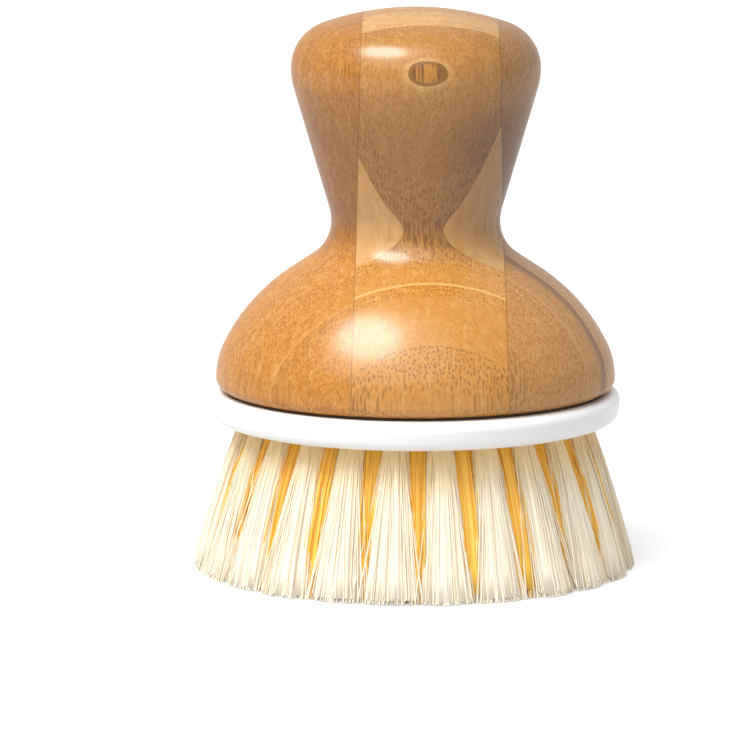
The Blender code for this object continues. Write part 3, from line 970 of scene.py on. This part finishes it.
def core_shape(g):
    """Each point of the cores, from its place on a unit tube."""
    along, across, round_it, shade = (g.recall(name) for name in ("along", "across", "round", "shade"))
    root_reach = g.given("Root Reach")

    # The tube is fluted, and widens from its root's reach to its fanned tip's
    angle = round_it.math("ARCTAN2", across)
    flute = (angle * 5.0 + shade * 9.0).sine() * 0.04
    flute = flute + (angle * 11.0).sine() * 0.03 + (angle * 19.0).sine() * 0.02
    share = (flute + 1.0) * g.given("Core Share")
    fan = g.recall("fan")
    width_across = along * (fan * g.given("Tip Reach Across") - root_reach) + root_reach
    width_along = along * (fan * g.given("Tip Reach Along") - root_reach) + root_reach

    # Its middle leans outwards, bulges with the bow and ends a little above the tips
    lean = g.given("Tip Radius") - g.given("Row Radius") + g.recall("lean")
    out = along * lean + g.given("Row Radius") + across * share * width_across
    out = out + swell(g, along, core_swell)
    aside = round_it * share * width_along + along * g.recall("skew")
    end = shade * core_end_spread + g.given("Core End")
    height = along * (end - g.given("Root Height")) + g.given("Root Height")
    return point_out(g, out, aside, (g.recall("cosine"), g.recall("sine")), height)


def core_row(g):
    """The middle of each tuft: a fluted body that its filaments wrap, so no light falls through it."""
    sockets = {
        "Vertices": core_sides,
        "Side Segments": core_bands,
        "Fill Segments": 1,
        "Radius": 1.0,
        "Depth": 1.0,
    }
    tube = g.add("GeometryNodeMeshCylinder", sockets, fill_type="NGON")
    across, round_it, up = g.split(g.add("GeometryNodeInputPosition"))
    for name, value in (("across", across), ("round", round_it), ("along", 0.5 - up)):
        tube = g.store(tube, name, value)
    index = g.add("GeometryNodeInputIndex")
    cloud = g.add("GeometryNodePoints", {"Count": g.given("Tufts")})
    row = g.add("GeometryNodeInstanceOnPoints", {"Points": cloud, "Instance": tube})
    own = dict(zip(("fan", "skew", "lean"), own_ways(g, index)))
    own.update(zip(("cosine", "sine"), row_direction(g, index)))
    own["shade"] = g.draw("core shade", index)
    for name, value in own.items():
        row = g.store(row, name, value, "INSTANCE")
    row = g.add("GeometryNodeRealizeInstances", {"Geometry": row})
    return g.add("GeometryNodeSetPosition", {"Geometry": row, "Position": core_shape(g)})


def tuft_tree():
    """The tree that grows one row of tufts."""
    g = Grower("row_of_tufts", row_inputs)
    both = g.tree.nodes.new("GeometryNodeJoinGeometry")
    for part in (core_row(g), filament_row(g)):
        g.tree.links.new(part.socket, both.inputs[0])
    row = g.add("GeometryNodeSetShadeSmooth", {"Geometry": Value(g, both.outputs[0])})
    row = g.add("GeometryNodeSetMaterial", {"Geometry": row, "Material": g.given("Finish")})
    end = g.tree.nodes.new("NodeGroupOutput")
    g.tree.links.new(row.socket, end.inputs["Geometry"])
    return g


def grown_row(grower, name, sizes):
    """A piece grown by the tree with these sizes, as a plain mesh."""
    seedling = add_object(f"{name}_seedling", bpy.data.meshes.new(f"{name}_seedling"))
    modifier = seedling.modifiers.new("grow", "NODES")
    modifier.node_group = grower.tree
    for size, value in sizes.items():
        modifier[grower.inputs[size]] = value
    mesh = baked(seedling, name)
    bpy.data.objects.remove(seedling, do_unlink=True)
    return add_object(name, mesh)


# Rows of tufts from the outside in: what all of them have, and then each row's own
outer_tufts = 24
head_turn = 0.017
root_depth = 0.0004
front = -math.pi / 2
shared_sizes = {
    "Root Height": bristle_length + root_depth,
    "Lowest Tip": 0.00005,
    "Tip Unevenness": 0.0013,
    "Filament Radius": 0.00010,
    "Bow": 0.0005,
    "Core Share": 0.98,
    "Core End": 0.0004,
    "Root Reach": 0.0017,
    "Tip Reach Along": 0.0024,
    "Tip Reach Across": 0.0020,
    "Filaments": 90,
    "Segments": 3,
    "Straying": 0.0012,
}
outer_row = {
    "Row Radius": 0.0247,
    "Tip Radius": 0.0315,
    "First Angle": front + math.pi / outer_tufts + head_turn,
    "Root Reach": 0.00178,
    "Tip Reach Along": 0.0039,
    "Tip Reach Across": 0.0022,
    "Tufts": outer_tufts,
    "Filaments": 240,
    "Seed": 3,
    "Straying": 0.0030,
}
second_row = {
    "Row Radius": 0.0228,
    "Tip Radius": 0.0298,
    "First Angle": front + head_turn,
    "Root Reach": 0.0023,
    "Tip Reach Along": 0.0028,
    "Tip Reach Across": 0.0025,
    "Bow": 0.0016,
    "Core End": 0.0012,
    "Tufts": outer_tufts,
    "Filaments": 140,
    "Seed": 31,
}
third_row = {
    "Row Radius": 0.0150,
    "Tip Radius": 0.0192,
    "First Angle": front + math.pi / 16,
    "Root Reach": 0.0021,
    "Tip Reach Along": 0.0034,
    "Tip Reach Across": 0.0030,
    "Tufts": 16,
    "Seed": 57,
}
fourth_row = {
    "Row Radius": 0.0086,
    "Tip Radius": 0.0108,
    "First Angle": front,
    "Tip Reach Along": 0.0030,
    "Tip Reach Across": 0.0026,
    "Tufts": 10,
    "Seed": 83,
}
centre_row = {
    "Row Radius": 0.0029,
    "Tip Radius": 0.0036,
    "First Angle": front + math.pi / 5,
    "Tufts": 5,
    "Seed": 101,
}


def numbered(name):
    """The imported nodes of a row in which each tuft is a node."""
    return [f"{name}_{i + 1:02d}" for i in range(outer_tufts)]


def add_bristles():
    """Five rows of tufts: cream outside, amber within. The gaps of the outer row show the second."""
    # The last colour of each is the rim's painted shadow at the roots
    cream = bristle_finish("cream_filament", (0.99, 0.91, 0.76), (0.98, 0.85, 0.62), (0.98, 0.71, 0.35))
    amber = bristle_finish("amber_filament", (0.99, 0.62, 0.12), (0.99, 0.52, 0.06), (0.99, 0.54, 0.07))
    rows = (
        ("outer_cream_tufts", outer_row, cream, "white_bristle", numbered("white_tuft")),
        ("second_amber_tufts", second_row, amber, "amber_bristle", numbered("amber_tuft")),
        ("third_amber_tufts", third_row, amber, "amber_bristle", ["third_row_tufts"]),
        ("fourth_amber_tufts", fourth_row, amber, "amber_bristle", ["fourth_row_tufts"]),
        ("centre_amber_tufts", centre_row, amber, "amber_bristle", ["centre_tufts"]),
    )
    grower = tuft_tree()
    for name, sizes, finish, slot, nodes in rows:
        piece = grown_row(grower, name, {**shared_sizes, **sizes, "Finish": finish})
        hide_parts(*nodes)
        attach(piece, "head")


# Studio: how light the surroundings are, and the soft lamps, each with its place, size and power in watts
floor_half_side = 6.0
floor_grey = 0.60
floor_glow_distances = (0.20, 1.2)
floor_glow_strengths = (0.53, 0.78)
world_light = 0.50
world_seen = 1.0
lamp_target = (0.0, 0.0, 0.045)
lamps = (
    ("overhead_softbox", (-0.42, -0.38, 1.05), (1.05, 0.88), 2.4),
    ("softbox_core", (-0.40, -0.36, 1.00), (0.64, 0.52), 8.3),
    ("front_softbox", (-0.40, -0.85, 1.24), (1.9, 1.7), 10.8),
)


def add_floor():
    """A plain white floor, which the camera sees white but for the brush's soft shadow."""
    bm = bmesh.new()
    bmesh.ops.create_grid(bm, x_segments=1, y_segments=1, size=floor_half_side)
    mesh = bpy.data.meshes.new("studio_floor")
    bm.to_mesh(mesh)
    bm.free()
    floor = add_object("studio_floor", mesh)
    grey = (floor_grey, floor_grey, floor_grey, 1.0)
    f = Finish("studio_floor", Base_Color=grey, Roughness=0.9, Specular_IOR_Level=0.0)
    away = f.add("ShaderNodeVectorMath", {0: f.place(1.0)}, output="Value", operation="LENGTH")
    strength = f.seen() * away.ramp(*floor_glow_distances, *floor_glow_strengths)
    glow = f.add("ShaderNodeEmission", {"Strength": strength})
    both = f.add("ShaderNodeAddShader", {0: Value(f, f.shader.outputs[0]), 1: glow})
    f.tree.links.new(both.socket, f.tree.nodes["Material Output"].inputs["Surface"])
    mesh.materials.append(f.material)


def add_world():
    """White behind, and an even light from all round."""
    world = bpy.data.worlds.new("studio")
    world.use_nodes = True
    bpy.context.scene.world = world
    w = Shading(world.node_tree)
    background = w.tree.nodes["Background"]
    background.inputs["Color"].default_value = (1.0, 1.0, 1.0, 1.0)
    strength = w.seen().ramp(0.0, 1.0, world_light, world_seen)
    w.tree.links.new(strength.socket, background.inputs["Strength"])


def add_lamp(name, place, size, power):
    """A soft lamp that faces the brush."""
    lamp = bpy.data.lights.new(name, "AREA")
    lamp.shape = "ELLIPSE"
    lamp.size, lamp.size_y = size
    lamp.energy = power
    obj = add_object(name, lamp)
    away = Vector(place) - Vector(lamp_target)
    obj.location = place
    obj.rotation_euler = away.to_track_quat("Z", "Y").to_euler()


def add_camera():
    """The camera where the photograph was taken from, turned so that the axis lands where it does there."""
    camera = bpy.data.cameras.new("photograph")
    camera.sensor_fit = "HORIZONTAL"
    camera.sensor_width = sensor_width
    camera.lens = focal_pixels / photo_size * sensor_width
    obj = add_object("photograph", camera)
    down = math.atan((eye_height - aim_height) / eye_distance)
    right = math.atan((aim_pixel[0] - photo_size / 2) / focal_pixels)
    above = math.atan((photo_size / 2 - aim_pixel[1]) / focal_pixels)
    obj.location = (0.0, -eye_distance, eye_height)
    obj.rotation_euler = (math.pi / 2 - down - above, 0.0, right / math.cos(down))
    bpy.context.scene.camera = obj


add_camera()
add_world()
for lamp in lamps:
    add_lamp(*lamp)
add_floor()
add_knob()
add_seal()
add_plate()
dress_socket()
add_bristles()

bpy.context.scene.view_settings.view_transform = "Standard"
